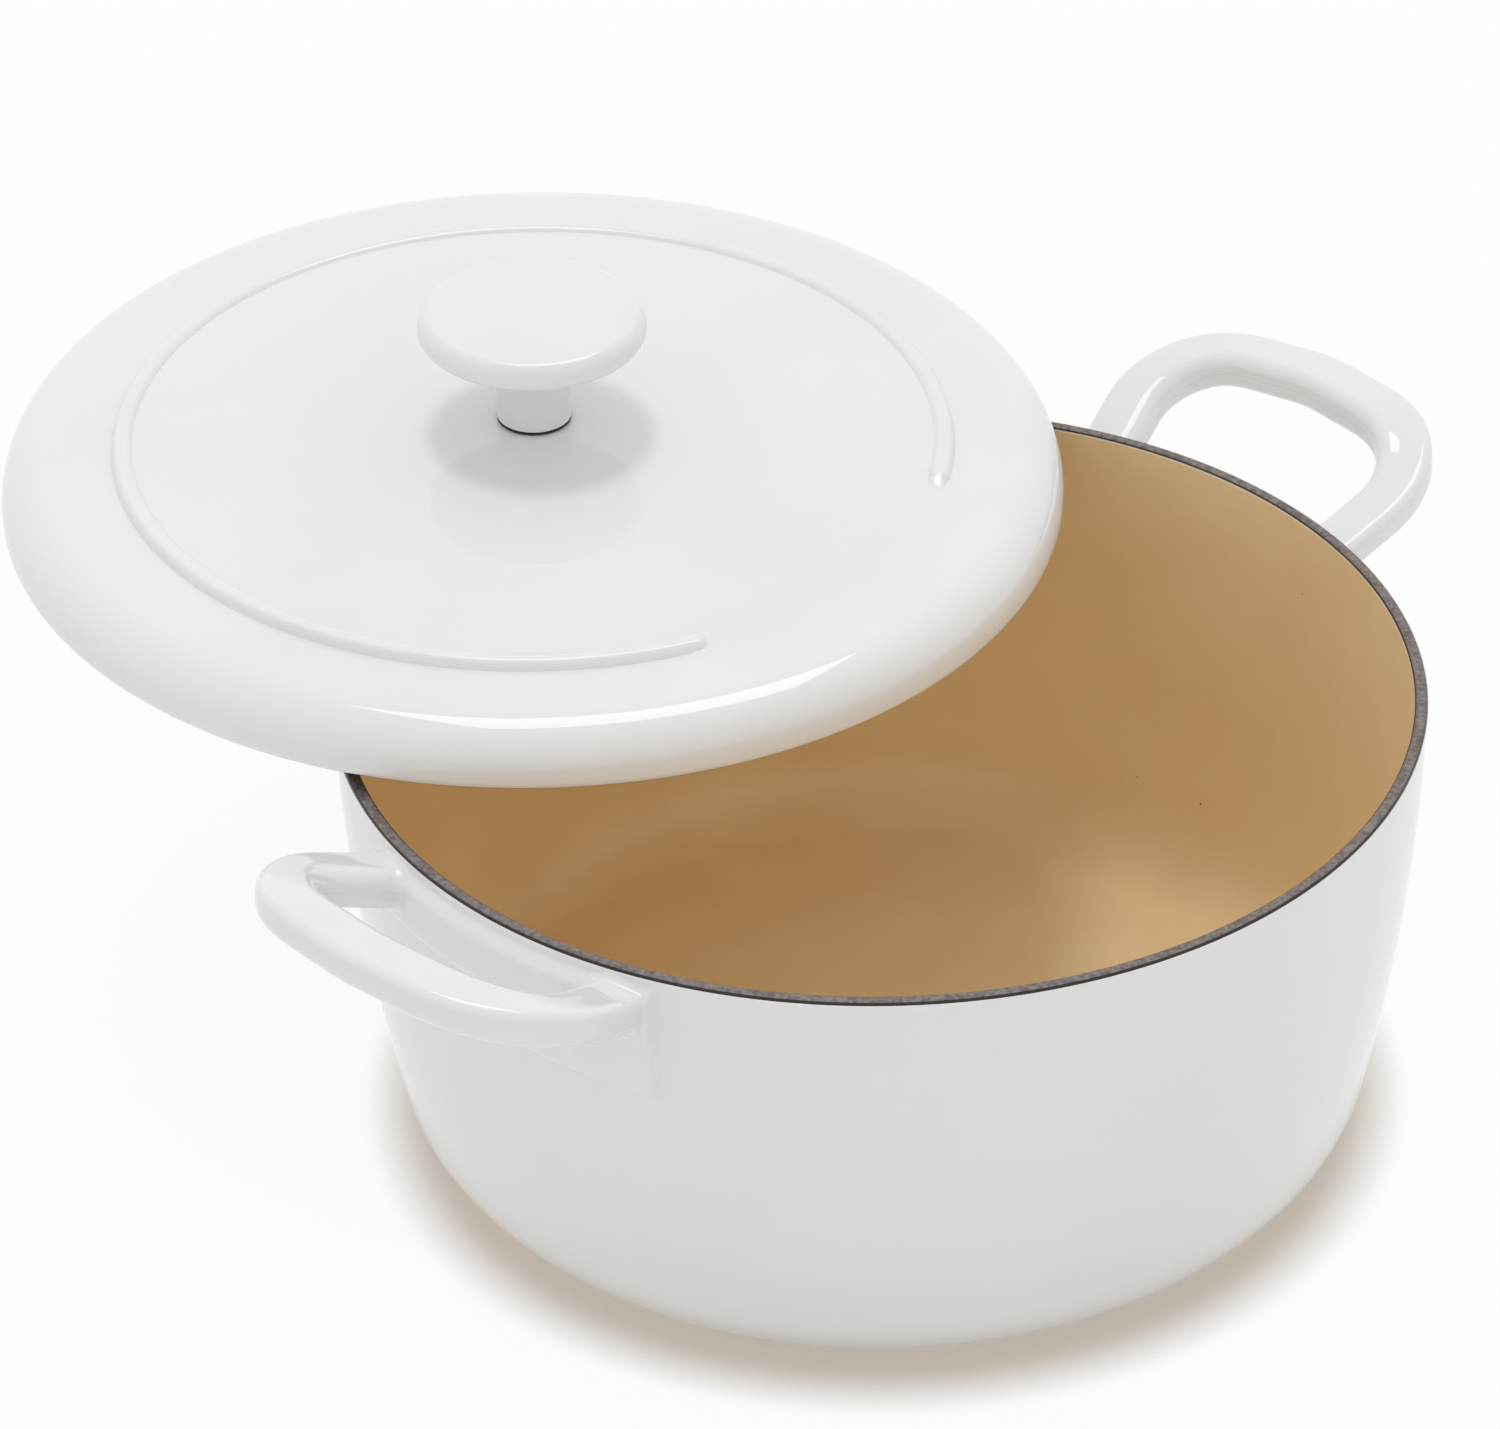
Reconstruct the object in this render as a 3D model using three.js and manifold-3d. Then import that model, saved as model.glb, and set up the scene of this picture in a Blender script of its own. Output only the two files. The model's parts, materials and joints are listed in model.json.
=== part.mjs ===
// A round enamelled cast-iron dutch oven with two cast loop handles, its lid set ajar on the rim.
// Millimetres, +Z up, origin at the centre of the pot's base, handles along X.
import * as THREE from "three";
import { mergeVertices } from "three/addons/utils/BufferGeometryUtils.js";
import Module from "manifold-3d";

// Pot casting
const POT_RADIUS = 133; // outside of the rim
const POT_HEIGHT = 120.5; // base to top of the rim
const POT_WALL = 3.4; // side wall, also the width of the rim
const POT_FLOOR = 4.5; // thickness of the base
const WALL_BOW = 535; // radius of the wall's bulge, upright at the rim
const BASE_CORNER = 22.7; // outside radius where the wall turns into the base
const FLOOR_CORNER = 19; // inside radius where the wall turns into the floor
const RIM_ROUND = 1; // rounding of both edges of the rim

// Loop handles, one at each end of the X axis
const HANDLE_REACH = 40.3; // from the wall to the middle of the grip bar, along the loop
const HANDLE_SPAN = 83; // between the middles of the two arms, at the bends
const HANDLE_NECK = 75.6; // between the middles of the two arms, at the wall
const HANDLE_BOW = 2.2; // how far the middle of the grip bar bows out
const HANDLE_RISE = 23.8; // degrees that the loop slopes up from the wall
const HANDLE_DROP = 8; // from the rim down to the middle of an arm at the wall
const HANDLE_WIDTH = 14.6; // section, in the plane of the loop
const HANDLE_DEPTH = 10; // section, across the plane of the loop
const HANDLE_EDGE = 4.4; // rounding of the section's corners
const HANDLE_BEND = 23.8; // radius of the two outer bends, to the middle of the bar

// Pads that the handles grow from, as wide as the arms at the wall
const PAD_TOP = 2.5; // below the rim
const PAD_LEDGE = 17.5; // below the rim, where the thick upper part ends
const PAD_FOOT = 32.5; // below the rim, where the thin lower part ends
const PAD_UPPER = 3.4; // how far the upper part stands out of the wall
const PAD_LOWER = 2; // how far the lower part stands out of the wall

// Lid casting, measured from the plane that seats on the rim
const LID_OVERHANG = 2.1; // how far the lid's edge stands out past the rim
const LID_HEIGHT = 15.6; // seat to the flat band outside the bead
const LID_STEP = 1.4; // how much higher the edge of the panel inside the bead is
const LID_DOME = 4; // rise of the panel inside the bead
const LID_PLATE = 4; // thickness of the panel
const LID_EDGE = 12; // radius of the upper edge
const LID_LIP = 3; // radius of the lower edge
const LID_HOLLOW_ROUND = 6; // inside radius under the plate
const RING_DEPTH = 3; // locating ring below the seat
const RING_WIDTH = 4.5; // thickness of the locating ring
const RING_PLAY = 2.2; // between the locating ring and the inside of the rim, lid closed

// Raised bead on top of the lid
const BEAD_INSET = 30.8; // from the lid's edge to the middle of the bead
const BEAD_WIDTH = 7.2;
const BEAD_HEIGHT = 2.2; // above the flat band
const BEAD_GAP = 55.4; // degrees left bare
const BEAD_GAP_MIDDLE = -85.4; // degrees from +X, where the bare stretch is centred

// Knob
const KNOB_RADIUS = 28.8;
const KNOB_HEIGHT = 31.1; // foot to the middle of the top
const KNOB_CAP = 8.1; // thickness of the cap
const KNOB_RISE = 0.7; // of the domed top above the rounded upper edge
const KNOB_CROWN_DEPTH = 4.8; // height of the rounded upper edge
const KNOB_CROWN_WIDTH = 3.2; // width of the rounded upper edge
const KNOB_LIP = 2.6; // rounding under the cap's edge
const STEM_RADIUS = 9.5;
const STEM_FILLET = 2.4; // where the stem meets the cap
const FOOT_ROUND = 0.5; // edge of the stem's foot
const GASKET_RADIUS = 9.4;
const GASKET_THICK = 0.4;

// Screw and washers under the lid
const SCREW_RADIUS = 3;
const SCREW_GRIP = 15; // length held in the knob
const SCREW_HEAD_RADIUS = 6;
const SCREW_HEAD_HEIGHT = 3.8;
const SCREW_HEAD_ROUND = 1.6;
const CROSS_LENGTH = 7; // cross slot in the head
const CROSS_WIDTH = 1.2;
const CROSS_DEPTH = 2;
const WASHER_RADIUS = 9;
const WASHER_THICK = 1.6;
const SPRING_RADIUS = 5.8;
const SPRING_THICK = 1.6;
const SPRING_SPLIT = 1; // width of the cut in the spring washer
const TIP_ROOM = 1; // empty end of the knob's hole past the screw

// How the lid lies on the pot
const LID_SHIFT_X = 2.84; // lid's axis from the pot's axis
const LID_SHIFT_Y = 121.5;
const LID_TILT = 2.23; // degrees, the -Y side lower

// Fits
const LID_REST = 0.3; // between the locating ring and the rim it lies on
const HOLE_CLEARANCE = 0.5; // around the screw, on the radius
const FACE_GAP = 0.2; // between stacked flat faces

// Fineness of the round forms
const ROUND_STEPS = 64;
const SMALL_STEPS = 32;
const ARC_STEPS = 5;
const EDGE_STEPS = 3;
const BOW_STEPS = 5;
const LID_EDGE_STEPS = 8;
const HANDLE_STEPS = 30;
const BEAD_STEPS = 56;
const JOIN = 2; // how far joined solids run into each other, and cuts run past a face

const wasm = await Module();
wasm.setup();

// A closed geometry as a solid that can be joined and cut.
function solid(geometry) {
  const bare = geometry.clone();
  bare.deleteAttribute("normal");
  bare.deleteAttribute("uv");
  const welded = mergeVertices(bare, 1e-4);
  return new wasm.Manifold(
    new wasm.Mesh({
      numProp: 3,
      vertProperties: welded.attributes.position.array,
      triVerts: new Uint32Array(welded.index.array),
    }),
  );
}

// A solid as a geometry with flat facets.
function geometryOf(shape) {
  const made = shape.getMesh();
  const geometry = new THREE.BufferGeometry();
  geometry.setAttribute("position", new THREE.BufferAttribute(made.vertProperties, 3));
  geometry.setIndex(new THREE.BufferAttribute(made.triVerts, 1));
  const facets = geometry.toNonIndexed();
  facets.computeVertexNormals();
  return facets;
}

// A profile of [radius, height] points turned round the Z axis.
function turned(profile, steps) {
  const points = profile.map(([r, z]) => new THREE.Vector2(r, z));
  return new THREE.LatheGeometry(points, steps).rotateX(Math.PI / 2);
}

// Points on a circular or elliptical arc in a profile, angles in degrees.
function arc(r, z, radiusR, radiusZ, from, to, steps = ARC_STEPS) {
  const points = [];
  for (let i = 0; i <= steps; i++) {
    const a = THREE.MathUtils.degToRad(from + ((to - from) * i) / steps);
    points.push([r + radiusR * Math.cos(a), z + radiusZ * Math.sin(a)]);
  }
  return points;
}

// Points on a shallow dome in a profile, from its top on the axis out to a radius.
function dome(reach, top, rise) {
  const radius = (reach ** 2 + rise ** 2) / (2 * rise);
  const edge = THREE.MathUtils.radToDeg(Math.asin(reach / radius));
  return [[0, top], ...arc(0, top - radius, radius, radius, 90, 90 - edge).slice(1)];
}

function box(sizeX, sizeY, sizeZ, x, y, z) {
  return solid(new THREE.BoxGeometry(sizeX, sizeY, sizeZ).translate(x, y, z));
}

// Radius of the pot's outer wall at a height, on the bulge.
function wallRadius(z) {
  return POT_RADIUS - WALL_BOW + Math.sqrt(WALL_BOW ** 2 - (POT_HEIGHT - z) ** 2);
}

// Base corner and bulge of one face of the wall, from the flat bottom up to the rim's rounding.
function wallProfile(bow, corner, bottom) {
  const bowMiddle = POT_RADIUS - WALL_BOW;
  const drop = POT_HEIGHT - bottom - corner;
  const cornerMiddle = bowMiddle + Math.sqrt((bow - corner) ** 2 - drop ** 2);
  const meet = THREE.MathUtils.radToDeg(Math.atan2(-drop, cornerMiddle - bowMiddle));
  const top = -THREE.MathUtils.radToDeg(Math.asin(RIM_ROUND / bow));
  return [
    ...arc(cornerMiddle, bottom + corner, corner, corner, -90, meet),
    ...arc(bowMiddle, POT_HEIGHT, bow, bow, meet, top, BOW_STEPS).slice(1),
  ];
}

const rimInside = POT_RADIUS - POT_WALL;

// The pot's outer form, filled.
function potBlank() {
  return solid(
    turned(
      [
        [0, 0],
        ...wallProfile(WALL_BOW, BASE_CORNER, 0),
        ...arc(POT_RADIUS - RIM_ROUND, POT_HEIGHT - RIM_ROUND, RIM_ROUND, RIM_ROUND, 0, 90, EDGE_STEPS),
        [0, POT_HEIGHT],
      ],
      ROUND_STEPS,
    ),
  );
}

// The pot's hollow, run past the rim.
function potHollow() {
  const lipRadius = rimInside + RIM_ROUND;
  const lip = arc(lipRadius, POT_HEIGHT - RIM_ROUND, RIM_ROUND, RIM_ROUND, 180, 90, EDGE_STEPS);
  return solid(
    turned(
      [
        [0, POT_FLOOR],
        ...wallProfile(WALL_BOW - POT_WALL, FLOOR_CORNER, POT_FLOOR),
        ...lip.slice(1),
        [lipRadius, POT_HEIGHT + JOIN],
        [0, POT_HEIGHT + JOIN],
      ],
      ROUND_STEPS,
    ),
  );
}

// The bar of a handle bent along its loop, sloping up from the wall at the +X end.
function handleBar() {
  const half = HANDLE_SPAN / 2;
  const neck = HANDLE_NECK / 2;
  const sunk = POT_RADIUS - Math.sqrt(POT_RADIUS ** 2 - (half + HANDLE_WIDTH) ** 2) + POT_WALL;
  const bend = arc(HANDLE_REACH - HANDLE_BEND, half - HANDLE_BEND, HANDLE_BEND, HANDLE_BEND, 90, 0);
  const arm = [[-sunk, neck], [-sunk / 2, neck], [0, neck], ...bend];
  const back = arm.map(([u, v]) => [u, -v]).reverse();
  const middle = [...arm, [HANDLE_REACH + HANDLE_BOW, 0], ...back];
  const path = new THREE.CatmullRomCurve3(middle.map(([u, v]) => new THREE.Vector3(u, v, 0)));

  const edge = Math.min(HANDLE_EDGE, 0.45 * HANDLE_DEPTH);
  const across = HANDLE_DEPTH / 2 - edge;
  const along = HANDLE_WIDTH / 2 - edge;
  const section = new THREE.Shape();
  section.moveTo(across + edge, -along);
  section.absarc(across, along, edge, 0, Math.PI / 2);
  section.absarc(-across, along, edge, Math.PI / 2, Math.PI);
  section.absarc(-across, -along, edge, Math.PI, Math.PI * 1.5);
  section.absarc(across, -along, edge, Math.PI * 1.5, Math.PI * 2);
  const bar = new THREE.ExtrudeGeometry(section, {
    steps: HANDLE_STEPS,
    curveSegments: EDGE_STEPS,
    extrudePath: path,
  });
  bar.rotateY(-THREE.MathUtils.degToRad(HANDLE_RISE));
  return bar.translate(POT_RADIUS, 0, POT_HEIGHT - HANDLE_DROP);
}

// Both pads, as the part of a ring round the wall that lies within their width.
function pads() {
  const top = POT_HEIGHT - PAD_TOP;
  const ledge = POT_HEIGHT - PAD_LEDGE;
  const foot = POT_HEIGHT - PAD_FOOT;
  const ring = solid(
    turned(
      [
        [wallRadius(foot) - POT_WALL, foot],
        [wallRadius(foot), foot],
        [wallRadius(foot) + PAD_LOWER, foot + PAD_LOWER],
        [wallRadius(ledge) + PAD_LOWER, ledge - PAD_UPPER],
        [wallRadius(ledge) + PAD_UPPER, ledge],
        [wallRadius(top) + PAD_UPPER, top - PAD_UPPER],
        [wallRadius(top), top],
        [wallRadius(top) - POT_WALL, top],
        [wallRadius(foot) - POT_WALL, foot],
      ],
      ROUND_STEPS,
    ),
  );
  const across = 2 * (POT_RADIUS + PAD_UPPER + JOIN);
  const width = HANDLE_NECK + HANDLE_WIDTH;
  return ring.intersect(box(across, width, POT_HEIGHT, 0, 0, POT_HEIGHT / 2));
}

function potGeometry() {
  const bar = handleBar();
  const whole = potBlank()
    .add(pads())
    .add(solid(bar))
    .add(solid(bar.clone().rotateZ(Math.PI)));
  return geometryOf(whole.subtract(potHollow()));
}

const lidRadius = POT_RADIUS + LID_OVERHANG;
const beadRadius = lidRadius - BEAD_INSET;
const ringOutside = rimInside - RING_PLAY;
const ringInside = ringOutside - RING_WIDTH;
const panelRadius = beadRadius - BEAD_WIDTH / 2;
const bandInside = beadRadius + BEAD_WIDTH / 2;
const panelTop = LID_HEIGHT + LID_STEP + LID_DOME;
const panelUnderside = panelTop - LID_PLATE;

// Points of the panel from the lid's axis out to the flat band, at a depth below its top.
function panel(depth) {
  return [...dome(panelRadius, panelTop - depth, LID_DOME), [bandInside, LID_HEIGHT - depth]];
}

// The bead, half sunk in the lid's top, with a round end at each side of the bare stretch.
function bead() {
  const turn = 360 - BEAD_GAP;
  const first = BEAD_GAP_MIDDLE + BEAD_GAP / 2;
  const ring = arc(0, 0, beadRadius, beadRadius, first, first + turn, BEAD_STEPS);
  const path = new THREE.CatmullRomCurve3(ring.map(([x, y]) => new THREE.Vector3(x, y, LID_HEIGHT)));
  const section = new THREE.Shape();
  section.absellipse(0, 0, BEAD_HEIGHT, BEAD_WIDTH / 2, 0, Math.PI * 2);
  let made = solid(
    new THREE.ExtrudeGeometry(section, { steps: BEAD_STEPS, curveSegments: ARC_STEPS, extrudePath: path }),
  );
  for (const [x, y] of [ring[0], ring[BEAD_STEPS]]) {
    const end = new THREE.SphereGeometry(BEAD_WIDTH / 2, 2 * ARC_STEPS, ARC_STEPS);
    end.rotateX(Math.PI / 2).scale(1, 1, (2 * BEAD_HEIGHT) / BEAD_WIDTH);
    made = made.add(solid(end.translate(x, y, LID_HEIGHT)));
  }
  return made;
}

function lidGeometry() {
  const edge = Math.min(LID_EDGE, LID_HEIGHT - LID_LIP);
  const plate = solid(
    turned(
      [
        ...panel(LID_PLATE),
        ...arc(
          ringInside - LID_HOLLOW_ROUND,
          LID_HEIGHT - LID_PLATE - LID_HOLLOW_ROUND,
          LID_HOLLOW_ROUND,
          LID_HOLLOW_ROUND,
          90,
          0,
        ),
        [ringInside, -RING_DEPTH],
        [ringOutside, -RING_DEPTH],
        [ringOutside, 0],
        ...arc(lidRadius - LID_LIP, LID_LIP, LID_LIP, LID_LIP, -90, 0, EDGE_STEPS),
        ...arc(lidRadius - edge, LID_HEIGHT - edge, edge, edge, 0, 90, LID_EDGE_STEPS),
        ...panel(0).reverse(),
      ],
      ROUND_STEPS,
    ),
  );
  const hole = new THREE.CylinderGeometry(
    SCREW_RADIUS + HOLE_CLEARANCE,
    SCREW_RADIUS + HOLE_CLEARANCE,
    LID_PLATE + 2 * JOIN,
    SMALL_STEPS,
  );
  hole.rotateX(Math.PI / 2).translate(0, 0, panelTop - LID_PLATE / 2);
  return geometryOf(plate.add(bead()).subtract(solid(hole)));
}

// Knob, measured from its foot.
function knobGeometry() {
  const bore = SCREW_RADIUS + HOLE_CLEARANCE;
  const under = KNOB_HEIGHT - KNOB_CAP;
  const crown = Math.min(KNOB_CROWN_DEPTH, KNOB_CAP - KNOB_RISE - KNOB_LIP);
  const crownFoot = KNOB_HEIGHT - KNOB_RISE - crown;
  const topRadius = KNOB_RADIUS - KNOB_CROWN_WIDTH;
  return turned(
    [
      [0, SCREW_GRIP + TIP_ROOM],
      [bore, SCREW_GRIP + TIP_ROOM],
      [bore, 0],
      ...arc(STEM_RADIUS - FOOT_ROUND, FOOT_ROUND, FOOT_ROUND, FOOT_ROUND, -90, 0, EDGE_STEPS),
      ...arc(STEM_RADIUS + STEM_FILLET, under - STEM_FILLET, STEM_FILLET, STEM_FILLET, 180, 90),
      ...arc(KNOB_RADIUS - KNOB_LIP, under + KNOB_LIP, KNOB_LIP, KNOB_LIP, -90, 0, EDGE_STEPS),
      ...arc(topRadius, crownFoot, KNOB_CROWN_WIDTH, crown, 0, 90).slice(0, -1),
      ...dome(topRadius, KNOB_HEIGHT, KNOB_RISE).reverse(),
    ],
    SMALL_STEPS,
  );
}

// A flat ring round the screw, standing on z = 0.
function ringGeometry(outside, thick) {
  const bore = SCREW_RADIUS + HOLE_CLEARANCE;
  return turned(
    [
      [bore, 0],
      [outside, 0],
      [outside, thick],
      [bore, thick],
      [bore, 0],
    ],
    SMALL_STEPS,
  );
}

function springWasherGeometry() {
  const ring = solid(ringGeometry(SPRING_RADIUS, SPRING_THICK));
  const depth = SPRING_THICK + 2 * JOIN;
  const split = box(2 * SPRING_RADIUS, SPRING_SPLIT, depth, SPRING_RADIUS, 0, SPRING_THICK / 2);
  return geometryOf(ring.subtract(split));
}

// Screw, measured from the seat under its head, the head below and the shank above.
function screwGeometry(shank) {
  const blank = solid(
    turned(
      [
        [0, -SCREW_HEAD_HEIGHT],
        ...arc(
          SCREW_HEAD_RADIUS - SCREW_HEAD_ROUND,
          SCREW_HEAD_ROUND - SCREW_HEAD_HEIGHT,
          SCREW_HEAD_ROUND,
          SCREW_HEAD_ROUND,
          -90,
          0,
          EDGE_STEPS,
        ),
        [SCREW_HEAD_RADIUS, 0],
        [SCREW_RADIUS, 0],
        [SCREW_RADIUS, shank],
        [0, shank],
      ],
      SMALL_STEPS,
    ),
  );
  const slotMiddle = CROSS_DEPTH / 2 - SCREW_HEAD_HEIGHT - JOIN / 2;
  const slot = box(CROSS_LENGTH, CROSS_WIDTH, CROSS_DEPTH + JOIN, 0, 0, slotMiddle);
  const cross = box(CROSS_WIDTH, CROSS_LENGTH, CROSS_DEPTH + JOIN, 0, 0, slotMiddle);
  return geometryOf(blank.subtract(slot).subtract(cross));
}

const whiteEnamel = { color: 0xf1f0ec, roughness: 0.12, metalness: 0 };
const darkRubber = { color: 0x2c2926, roughness: 0.7, metalness: 0 };
const steel = { color: 0xc4c6c8, roughness: 0.3, metalness: 1 };

function piece(name, geometry, finish, z = 0) {
  const mesh = new THREE.Mesh(geometry, new THREE.MeshStandardMaterial(finish));
  mesh.name = name;
  mesh.position.z = z;
  return mesh;
}

// Height of the lid's seat, at which the locating ring just clears the two spots where it crosses the rim.
function lidSeatHeight() {
  const shift = Math.hypot(LID_SHIFT_X, LID_SHIFT_Y);
  const crossing = (shift ** 2 + rimInside ** 2 - ringOutside ** 2) / (2 * shift);
  const dip = (shift - crossing) * Math.tan(THREE.MathUtils.degToRad(LID_TILT));
  return POT_HEIGHT + RING_DEPTH + dip + LID_REST;
}

const gasketFoot = panelTop + FACE_GAP;
const knobFoot = gasketFoot + GASKET_THICK + FACE_GAP;
const washerFoot = panelUnderside - FACE_GAP - WASHER_THICK;
const springFoot = washerFoot - FACE_GAP - SPRING_THICK;
const screwSeat = springFoot - FACE_GAP;
const screwShank = knobFoot + SCREW_GRIP - screwSeat;

const lidSet = new THREE.Group();
lidSet.position.set(LID_SHIFT_X, LID_SHIFT_Y, lidSeatHeight());
lidSet.rotation.x = THREE.MathUtils.degToRad(LID_TILT);
lidSet.add(
  piece("lid", lidGeometry(), whiteEnamel),
  piece("knob", knobGeometry(), whiteEnamel, knobFoot),
  piece("knob_gasket", ringGeometry(GASKET_RADIUS, GASKET_THICK), darkRubber, gasketFoot),
  piece("knob_screw", screwGeometry(screwShank), steel, screwSeat),
  piece("flat_washer", ringGeometry(WASHER_RADIUS, WASHER_THICK), steel, washerFoot),
  piece("spring_washer", springWasherGeometry(), steel, springFoot),
);

const dutchOven = new THREE.Group();
dutchOven.add(piece("pot", potGeometry(), whiteEnamel), lidSet);

export default dutchOven;
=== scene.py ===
# Looks of a round enamelled cast-iron dutch oven, its lid set ajar on the rim.
# Shapes are laid out in millimetres in the frame's axes and become metres when a mesh is made.
import json
import math

import bmesh
import bpy
from mathutils import Matrix, Quaternion, Vector


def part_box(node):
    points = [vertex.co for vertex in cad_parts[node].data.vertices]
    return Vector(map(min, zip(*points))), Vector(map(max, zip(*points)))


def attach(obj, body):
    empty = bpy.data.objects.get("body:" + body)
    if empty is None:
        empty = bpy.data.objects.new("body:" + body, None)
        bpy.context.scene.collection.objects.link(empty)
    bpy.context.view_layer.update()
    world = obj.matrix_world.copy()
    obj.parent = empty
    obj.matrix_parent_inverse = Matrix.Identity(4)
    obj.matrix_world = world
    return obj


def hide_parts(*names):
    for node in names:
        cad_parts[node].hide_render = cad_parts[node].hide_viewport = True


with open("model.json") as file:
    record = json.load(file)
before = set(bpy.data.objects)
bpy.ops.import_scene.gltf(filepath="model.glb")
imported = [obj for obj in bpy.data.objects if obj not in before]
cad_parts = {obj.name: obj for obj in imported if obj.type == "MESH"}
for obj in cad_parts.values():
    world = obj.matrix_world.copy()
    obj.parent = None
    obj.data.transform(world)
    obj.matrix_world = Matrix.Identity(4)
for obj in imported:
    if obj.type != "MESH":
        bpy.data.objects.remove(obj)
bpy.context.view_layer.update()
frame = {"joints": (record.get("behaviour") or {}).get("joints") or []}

MM = 0.001

# Pot casting
POT_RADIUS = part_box("pot")[1].y / MM  # outside, at the rim
POT_HEIGHT = 120.5
POT_WALL = 3.4
POT_FLOOR = 4.5
WALL_BOW = 535  # radius of the wall's bulge, seen from the side
BASE_CORNER = 22.7  # radius between the wall and the base outside
FLOOR_CORNER = 19  # and inside
RIM_ROUND = 1
ENAMEL_COAT = 0.15  # how far the enamel stands proud of the bare rim
OUTER_STOP = 1  # below the rim, where the white enamel ends
INNER_STOP = 0.6  # below the rim, where the sand enamel ends
WORN_AND_LIT_DROP = 0.25  # below the rim, as far as the top is rubbed matt and painted a lighter grey as lit from above
CREAM_EDGE = 0.5  # below the sand enamel's end, as far as it is drawn up thick and painted pale as a highlight on its rounded edge
STOP_WAVER = 0.14  # how unevenly the white enamel was wiped back from the rim
STOP_WAVES = ((0.45, 7, 1), (0.3, 17, 2), (0.25, 41, 0))  # share, number round the rim and start of each wave

# Loop handles and the pads they grow from
HANDLE_REACH = 40.3  # from the wall to the middle line of the grip, at its ends
HANDLE_BOW = 2.2  # how much further out the middle of the grip is
HANDLE_SPAN = 83  # between the middle lines of the arms, at the bends
HANDLE_NECK = 75.6  # and at the wall
HANDLE_BEND = 23.8  # radius of the bends
HANDLE_RISE = 23.8  # degrees that the loop slopes up
HANDLE_DROP = 7.4  # below the rim, where the loop's middle line starts
HANDLE_WIDTH = 14.6  # of the bar, along the loop's plane
HANDLE_DEPTH = 9.8  # and across it
HANDLE_LEAN = 20  # degrees that the grip's section leans outward from square to the loop
HANDLE_TOP_EDGE = 2.6  # rounding of the section's outer corner above
HANDLE_INNER_EDGE = 4.2  # of its inner corner above
HANDLE_LOW_EDGE = 2.8  # of its inner corner below
HANDLE_UNDER_EDGE = 4.4  # of its outer corner below
PARTING_STEP = 0.4  # how far the two halves of the mould were apart, seen along the inside of the loop
ROOT_FILLET = 2.5  # reach of the fillet where an arm runs into the wall, less where the rim is near
ROOT_FILLET_OUTER = 1.2  # and on the outer side of an arm
ROOT_MARGIN = 0.3  # left between the fillet and the end of the white enamel
SEAM_SINK = 0.04  # how far the edge of the fillet lies under the wall's skin
PAD_TOP = 2  # below the rim, as are the next three
PAD_SHOULDER = 6.5  # where the pad has come out to its full thickness
PAD_LEDGE = 16
PAD_FOOT = 32.5
PAD_UPPER = 3.4  # how far the pad stands out above its ledge
PAD_LOWER = 2  # and below it
PAD_WIDTH = 88.2
PAD_SIDE = 0.8  # softness of the pad's upright sides
PAD_EDGE = 2.4  # softness of its ledge and foot
PAD_SAG = 1.5  # how much lower the pad's foot is at its ends

# Lid casting, measured from the plane that seats on the rim
LID_OVERHANG = 2.1  # past the rim, when the lid is closed
LID_HEIGHT = 15.6  # of the flat band round the panel
LID_STEP = 1.4  # from the band up to the panel's edge
LID_DOME = 4  # from there up to the panel's middle
LID_PLATE = 4  # thickness
LID_EDGE = 12  # rounding of the outer edge above
LID_LIP = 3  # and below
LID_HOLLOW_ROUND = 6  # rounding in the hollow underneath
RING_DEPTH = 3  # of the locating ring, below the seat
RING_WIDTH = 4.5
RING_PLAY = 2.2  # between the ring and the pot's wall
RING_ROUND = 0.8
LID_STOP = 1.2  # above the seat, where the white enamel ends
BEAD_INSET = 30.8  # from the lid's outline to the middle of the bead
BEAD_WIDTH = 5.4
BEAD_HEIGHT = 2.5  # above the band
BEAD_SQUARE = 1.9  # 1 is a plain wave, more gives a flatter crest and steeper sides
BEAD_GAP = 55.4  # degrees round the lid, as is the next
BEAD_GAP_MIDDLE = -85.4
GAP_STEP = 22  # width of the step down to the band where there is no bead over it

# Knob and its fixing
KNOB_RADIUS = 28.8
KNOB_HEIGHT = 31.1
KNOB_CAP = 8.1  # thickness of the cap
KNOB_RISE = 0.7  # from the edge of the cap's top to its middle
KNOB_CROWN_DEPTH = 4.8  # rounding of the cap's edge above, downward
KNOB_CROWN_WIDTH = 3.2  # and inward
KNOB_LIP = 2.6  # rounding of the cap's edge below
STEM_RADIUS = 9.5
STEM_FILLET = 2.4  # between the stem and the cap
FOOT_ROUND = 0.5
GASKET_RADIUS = 9.4
GASKET_THICK = 0.4
GASKET_EDGE = 0.1
SCREW_RADIUS = 3
SCREW_GRIP = 15  # length of the screw inside the knob
SCREW_HEAD_RADIUS = 6
SCREW_HEAD_HEIGHT = 3.8
SCREW_HEAD_ROUND = 1.6
CROSS_ARMS = 4  # of the recess in the screw's head
CROSS_LENGTH = 7
CROSS_WIDTH = 1.2
CROSS_DEPTH = 2
WASHER_RADIUS = 9
WASHER_THICK = 1.6
WASHER_EDGE = 0.3
SPRING_RADIUS = 5.8
SPRING_THICK = 1.6
SPRING_SPLIT = 1
SPRING_RISE = 0.3  # how far one end of the split stands above the other
TIP_ROOM = 1  # left over the screw's tip
HOLE_CLEARANCE = 0.5  # between the screw and its holes
FACE_GAP = 0.2  # between pieces that lie on each other

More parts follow.
